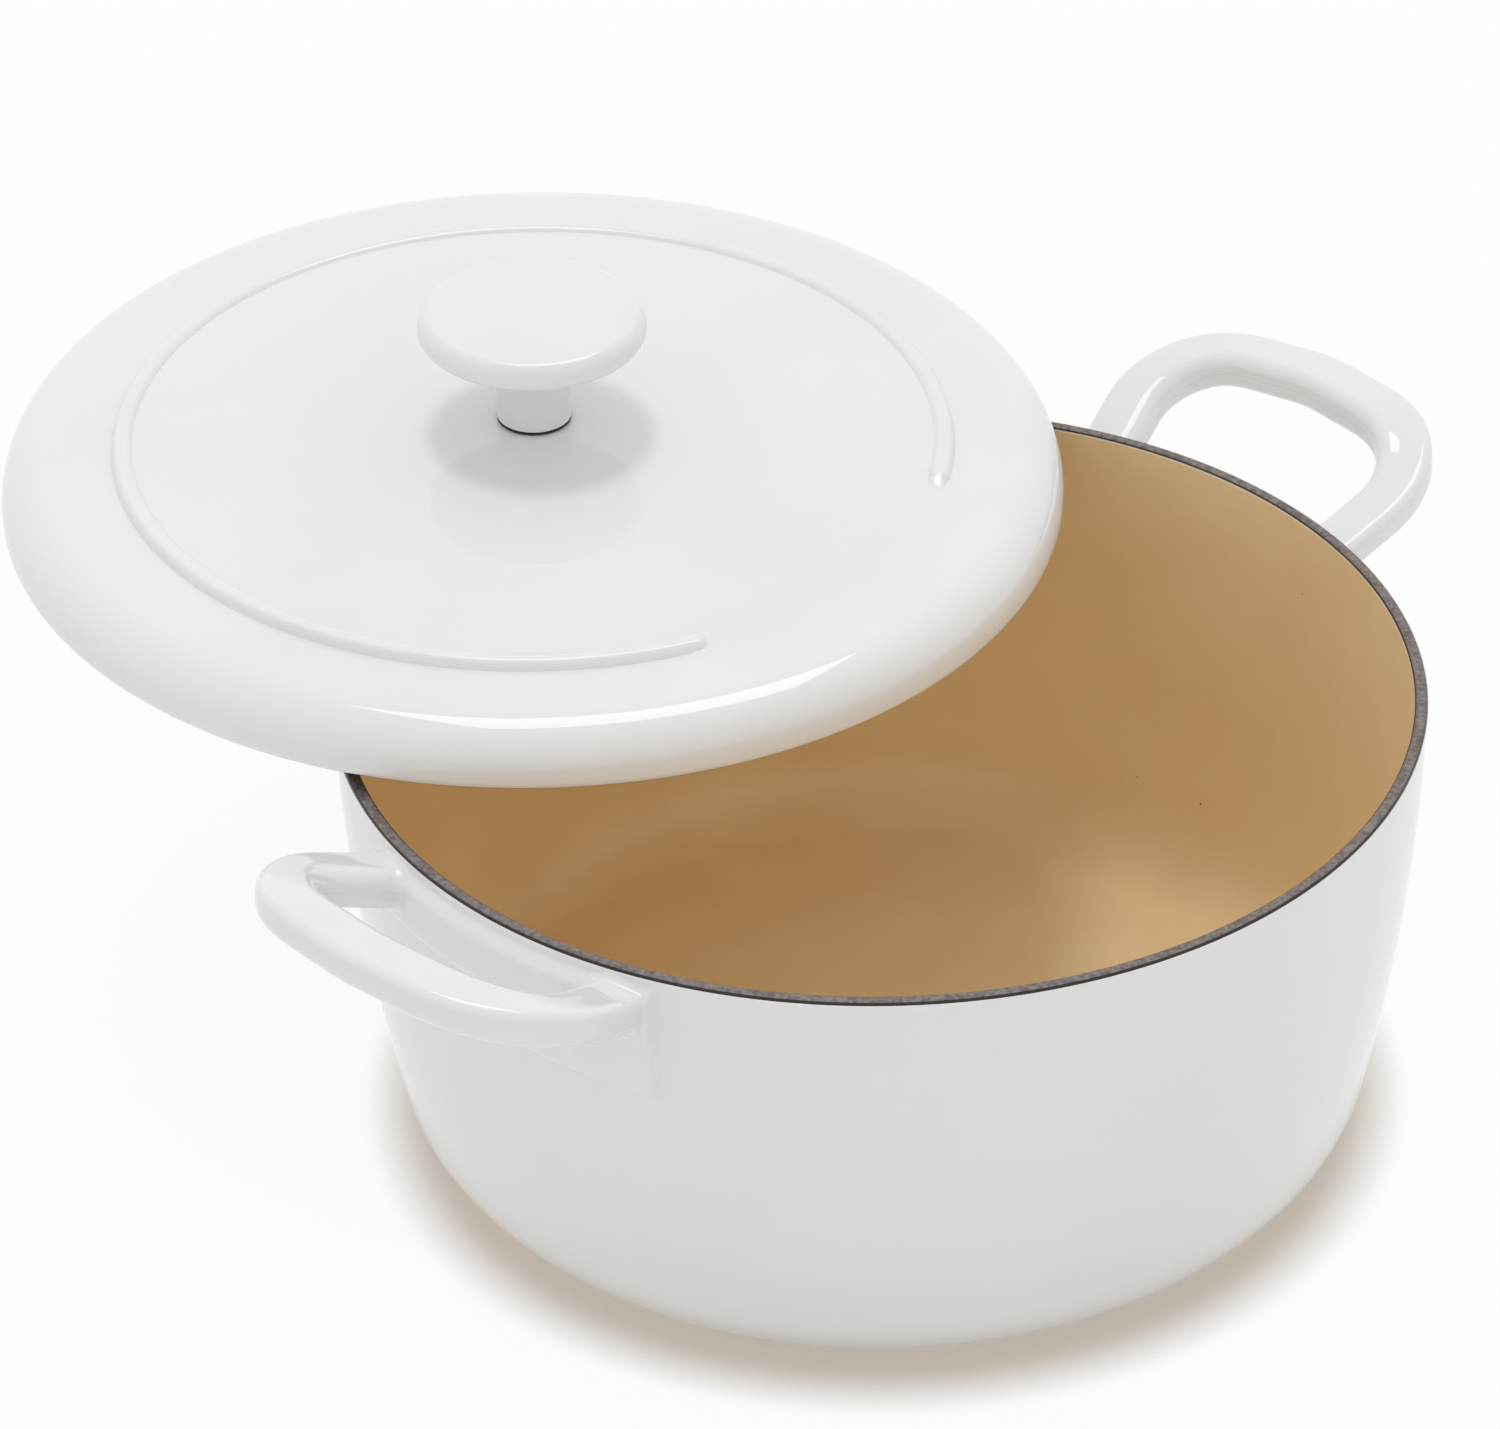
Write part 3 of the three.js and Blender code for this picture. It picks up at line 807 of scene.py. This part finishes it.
def lid_shell():
    """The lid turned in one skin, from its screw hole over the top and round to the hollow underside."""
    white, black, sand = range(3)
    edge = min(LID_EDGE, LID_HEIGHT - LID_LIP)
    radii = divided(bore, panel_radius, PANEL_RINGS)
    radii += divided(panel_radius, band_inside, BEAD_RINGS)
    radii += divided(band_inside, lid_radius - edge, BAND_RINGS)
    rim = arc(lid_radius - edge, LID_HEIGHT - edge, edge, 90, 0, WIDE_PARTS)
    lip = arc(lid_radius - LID_LIP, LID_LIP, LID_LIP, 0, -90, LIP_PARTS)
    bare = [point for point in lip if point[1] <= LID_STOP]
    ring_low = RING_ROUND - RING_DEPTH
    seat = [(ring_outside, 0)]
    seat += arc(ring_outside - RING_ROUND, ring_low, RING_ROUND, 0, -90, FINE_PARTS)
    seat += arc(ring_inside + RING_ROUND, ring_low, RING_ROUND, -90, -180, FINE_PARTS)
    plate_under = LID_HEIGHT - LID_PLATE
    round_r = ring_inside - LID_HOLLOW_ROUND
    hollow = arc(round_r, plate_under - LID_HOLLOW_ROUND, LID_HOLLOW_ROUND, 0, 90, HEAD_PARTS)
    hollow += [(band_inside, plate_under)]
    under = divided(panel_radius, bore, UNDER_RINGS) + [bore]
    hollow += [(r, dome_height(r) - LID_PLATE) for r in under]

    angles = uneven_angles(lid_column)
    rings = [[turned(r, a, top_height(r, a)) for a in angles] for r in radii]
    finishes = [white] * len(rings)
    for profile, finish in ((rim, white), (lip[:-len(bare)], white), (bare + seat, black), (hollow, sand)):
        rings += [ring(r, z, angles) for r, z in profile]
        finishes += [finish] * len(profile)
    rings.append(ring(bore, dome_height(bore), angles))
    shell = Shell()
    shell.stretch(rings, finishes)
    return shell


def knob_shell():
    """Turned mushroom knob: barely domed top, rounded edge, straight stem, the screw's hole in its foot."""
    under = KNOB_HEIGHT - KNOB_CAP
    hole_end = SCREW_GRIP + TIP_ROOM
    profile = [(0, hole_end), (bore, hole_end), (bore, 0)]
    profile += arc(STEM_RADIUS - FOOT_ROUND, FOOT_ROUND, FOOT_ROUND, -90, 0, FINE_PARTS)
    profile += arc(STEM_RADIUS + STEM_FILLET, under - STEM_FILLET, STEM_FILLET, 180, 90, EDGE_PARTS)
    profile += arc(KNOB_RADIUS - KNOB_LIP, under + KNOB_LIP, KNOB_LIP, -90, 0, EDGE_PARTS)
    crown = min(KNOB_CROWN_DEPTH, KNOB_CAP - KNOB_RISE - KNOB_LIP)
    top_radius = KNOB_RADIUS - KNOB_CROWN_WIDTH
    edge_top = KNOB_HEIGHT - KNOB_RISE
    profile += arc(top_radius, edge_top - crown, KNOB_CROWN_WIDTH, 0, 90, WIDE_PARTS, crown)
    for i in range(1, KNOB_TOP_RINGS + 1):
        share = 1 - i / KNOB_TOP_RINGS
        profile.append((top_radius * share, KNOB_HEIGHT - KNOB_RISE * share ** 2))
    shell = Shell()
    shell.turn(profile, even_angles(KNOB_COLUMNS))
    shell.lift(knob_foot)
    return shell


def washer_shell(outside, thick, edge, foot):
    """A flat ring with its edges broken, standing on foot."""
    profile = [(bore, edge), (bore + edge, 0)]
    profile += arc(outside - edge, edge, edge, -90, 0, WASHER_PARTS)
    profile += arc(outside - edge, thick - edge, edge, 0, 90, WASHER_PARTS)
    profile += [(bore + edge, thick), (bore, thick - edge), (bore, edge)]
    shell = Shell()
    shell.turn(profile, even_angles(FIXING_COLUMNS))
    shell.lift(foot)
    return shell


def spring_washer_shell():
    """A ring cut through and twisted, so that its two ends bite."""
    gap = SPRING_SPLIT / SPRING_RADIUS
    thick = SPRING_THICK - SPRING_RISE
    outline = [(bore, 0), (SPRING_RADIUS, 0), (SPRING_RADIUS, thick), (bore, thick)]
    rings = []
    for i in range(SPRING_RINGS + 1):
        share = i / SPRING_RINGS
        angle = gap / 2 + (2 * math.pi - gap) * share
        rings.append([turned(r, angle, spring_foot + z + SPRING_RISE * share) for r, z in outline])
    shell = Shell()
    shell.stretch(rings, 0)
    corners = len(outline)
    for first in (0, SPRING_RINGS * corners):
        shell.faces.append([first + i for i in range(corners)])
        shell.finishes.append(0)
    return shell


def cross_reach(angle):
    """Distance from the middle of the screw's cross recess to its side."""
    along = max(abs(math.cos(angle)), TINY)
    across = max(abs(math.sin(angle)), TINY)
    length = CROSS_LENGTH / 2
    width = CROSS_WIDTH / 2
    return max(min(length / along, width / across), min(width / along, length / across))


def screw_shell():
    """Pan-headed screw, its head down with a cross recess, its shank up in the knob."""
    shank = knob_foot + SCREW_GRIP - screw_seat
    head = SCREW_HEAD_ROUND - SCREW_HEAD_HEIGHT
    recess_end = CROSS_DEPTH - SCREW_HEAD_HEIGHT
    arm_corner = math.atan2(CROSS_WIDTH, CROSS_LENGTH)
    corners = [arm + side * arm_corner for arm in even_angles(CROSS_ARMS) for side in (1, -1)]
    angles = sorted(even_angles(FIXING_COLUMNS) + [corner % (2 * math.pi) for corner in corners])
    rings = [[Vector((0, 0, recess_end))]]
    for z in (recess_end, -SCREW_HEAD_HEIGHT):
        rings.append([turned(cross_reach(a), a, z) for a in angles])
    profile = arc(SCREW_HEAD_RADIUS - SCREW_HEAD_ROUND, head, SCREW_HEAD_ROUND, -90, 0, HEAD_PARTS)
    profile += [(SCREW_HEAD_RADIUS, 0), (SCREW_RADIUS, 0), (SCREW_RADIUS, shank), (0, shank)]
    rings += [ring(r, z, angles) for r, z in profile]
    shell = Shell()
    shell.stretch(rings, 0)
    shell.lift(screw_seat)
    return shell


def make_lid_set(white, black, sand):
    pose = lid_pose()
    steel = tumbled_stainless_steel()
    silicone = moulded_silicone()
    gasket = washer_shell(GASKET_RADIUS, GASKET_THICK, GASKET_EDGE, gasket_foot)
    washer = washer_shell(WASHER_RADIUS, WASHER_THICK, WASHER_EDGE, washer_foot)
    for name, shell, finishes, body, node, slot in (
        ("lid_casting", lid_shell(), [white, black, sand], "lid", "lid", "lid_enamel"),
        ("knob_casting", knob_shell(), [white], "lid", "knob", "knob_enamel"),
        ("gasket_ring", gasket, [silicone], "lid", "knob_gasket", "gasket"),
        ("pan_screw", screw_shell(), [steel], "knob_fixing", "knob_screw", "fixings"),
        ("plain_washer", washer, [steel], "knob_fixing", "flat_washer", "fixings"),
        ("split_washer", spring_washer_shell(), [steel], "knob_fixing", "spring_washer", "fixings"),
    ):
        shell.move(pose)
        piece(name, shell, finishes, body, node)


# Floor, light and camera


def seen_directly(tree):
    """1 for a ray from the camera, a reflection or a clear piece, 0 for the light that falls on things."""
    ray = add(tree, "ShaderNodeLightPath")
    seen = ray.outputs["Is Camera Ray"]
    for kind in ("Is Glossy Ray", "Is Transmission Ray"):
        seen = add(tree, "ShaderNodeMath", {0: seen, 1: ray.outputs[kind]}, operation="MAXIMUM").outputs[0]
    return seen


def white_paper_sweep():
    """Matt white paper: takes the pot's shadow, and where it is seen it glows, with a warm dim contact shadow
    painted in close to where the pot stands on it.
    """
    made = bpy.data.materials.new("white_paper_sweep")
    tree = empty_tree(made)
    matt = add(tree, "ShaderNodeBsdfDiffuse", {"Color": linear("#F2EEEA")})
    painted_contact_shadow = add(
        tree, "ShaderNodeAmbientOcclusion", {"Distance": PAINTED_SHADOW_REACH * MM}, samples=PAINTED_SHADOW_SAMPLES,
    )
    # painted contact shadow: the glow turns warm grey where the pot closes in the floor, white further off
    tones = ((0.4, "#BFB5AA"), (0.95, "#FFFFFF"))
    tone = add(tree, "ShaderNodeValToRGB", {"Fac": painted_contact_shadow.outputs["AO"]}, tones)
    glow_with_painted_shadow = add(tree, "ShaderNodeEmission", {"Color": tone.outputs["Color"]})
    share = add(tree, "ShaderNodeMath", {0: seen_directly(tree), 1: FLOOR_GLOW}, operation="MULTIPLY")
    both = add(
        tree, "ShaderNodeMixShader",
        {0: share.outputs[0], 1: matt.outputs["BSDF"], 2: glow_with_painted_shadow.outputs["Emission"]},
    )
    add(tree, "ShaderNodeOutputMaterial", {"Surface": both.outputs["Shader"]})
    return made


def make_floor():
    mesh = bpy.data.meshes.new("floor")
    corners = [(x * FLOOR_HALF, y * FLOOR_HALF, 0) for x, y in ((-1, -1), (1, -1), (1, 1), (-1, 1))]
    mesh.from_pydata(corners, [], [(0, 1, 2, 3)])
    mesh.materials.append(white_paper_sweep())
    floor = put("floor", mesh)


def towards(azimuth, elevation):
    """Unit direction from the pot, azimuth 0 at -Y and growing towards +X, in degrees."""
    a = math.radians(azimuth)
    e = math.radians(elevation)
    return Vector((math.sin(a) * math.cos(e), -math.cos(a) * math.cos(e), math.sin(e)))


def make_room():
    """Light of a white room: even from above the floor, brighter in patches, plain white where it is seen."""
    world = bpy.data.worlds.new("white_room")
    tree = empty_tree(world)
    looking = add(tree, "ShaderNodeTexCoord").outputs["Generated"]
    height = add(tree, "ShaderNodeSeparateXYZ", {0: looking}).outputs["Z"]
    room = add(
        tree, "ShaderNodeMapRange",
        {"Value": height, "From Min": -HORIZON, "From Max": HORIZON, "To Min": 0.0, "To Max": ROOM_EVEN},
    ).outputs[0]
    for azimuth, elevation, strength in ROOM_WALLS:
        middle = towards(CAMERA_AZIMUTH + azimuth, elevation)
        facing = add(tree, "ShaderNodeVectorMath", {0: looking, 1: middle}, operation="DOT_PRODUCT")
        front = add(tree, "ShaderNodeMath", {0: facing.outputs["Value"], 1: 0.0}, operation="MAXIMUM")
        patch = add(tree, "ShaderNodeMath", {0: front.outputs[0], 1: PATCH_POWER}, operation="POWER")
        room = add(
            tree, "ShaderNodeMath", {0: patch.outputs[0], 1: strength, 2: room}, operation="MULTIPLY_ADD",
        ).outputs[0]
    level = add(tree, "ShaderNodeMapRange", {"Value": seen_directly(tree), "To Min": room, "To Max": 1.0})
    sky = add(tree, "ShaderNodeBackground", {"Color": linear("#FFFFFF"), "Strength": level.outputs[0]})
    add(tree, "ShaderNodeOutputWorld", {"Surface": sky.outputs["Background"]})
    bpy.context.scene.world = world


def make_lamps():
    """A softbox that only lights and a strip lamp that only glints, both nearly overhead."""
    softbox = bpy.data.lights.new("softbox", "SUN")
    softbox.angle = math.radians(KEY_SIZE)
    softbox.energy = KEY * math.pi
    strip = bpy.data.lights.new("strip", "AREA")
    strip.shape = "RECTANGLE"
    strip.size = STRIP_LENGTH
    strip.size_y = STRIP_WIDTH
    strip.energy = STRIP * math.pi * STRIP_LENGTH * STRIP_WIDTH
    length = towards(CAMERA_AZIMUTH + 90 + STRIP_LIE, 0)
    for light, turn, tilt in ((softbox, KEY_TURN, KEY_TILT), (strip, STRIP_TURN, STRIP_TILT)):
        source = towards(CAMERA_AZIMUTH + 180 - turn, 90 - tilt)
        across = source.cross(length).normalized()
        lamp = put(light.name, light)
        lamp.location = source * STRIP_DISTANCE
        lamp.rotation_euler = Matrix((across.cross(source), across, source)).transposed().to_euler()
        lamp.visible_glossy = light == strip
        lamp.visible_diffuse = light == softbox


def make_camera():
    camera = bpy.data.cameras.new("camera")
    camera.lens = LENS
    camera.shift_x = FRAME_RIGHT / IMAGE_WIDTH
    camera.shift_y = FRAME_UP / IMAGE_WIDTH
    camera.clip_end = CAMERA_FAR
    stand = put("camera", camera)
    away = towards(CAMERA_AZIMUTH, CAMERA_ELEVATION)
    stand.location = (Vector((0, 0, CAMERA_AIM)) + away * CAMERA_DISTANCE) * MM
    roll = Quaternion((0, 0, 1), math.radians(CAMERA_ROLL))
    stand.rotation_euler = (away.to_track_quat("Z", "Y") @ roll).to_euler()
    bpy.context.scene.camera = stand


white_enamel = white_fired_enamel()
black_coat = black_ground_coat()
# lighter grey rim top: painted light, on a matt gritty coat
worn_and_lit_coat = worn_and_lit_ground_coat()
# cream line along the sand enamel's top: paler where the enamel is drawn up thick, with a painted highlight
# for the light its rounded edge catches
cream_edge_highlight = sand_fired_enamel("sand_enamel_edge_and_highlight", "#F3E6CB", "#F8EFDC")
sand_enamel = sand_fired_enamel("sand_fired_enamel", "#F0D5A6", "#F6DFB4")
make_pot([white_enamel, black_coat, worn_and_lit_coat, cream_edge_highlight, sand_enamel])
make_lid_set(white_enamel, black_coat, sand_enamel)
make_floor()
make_room()
make_lamps()
make_camera()
bpy.context.scene.view_settings.view_transform = "Standard"
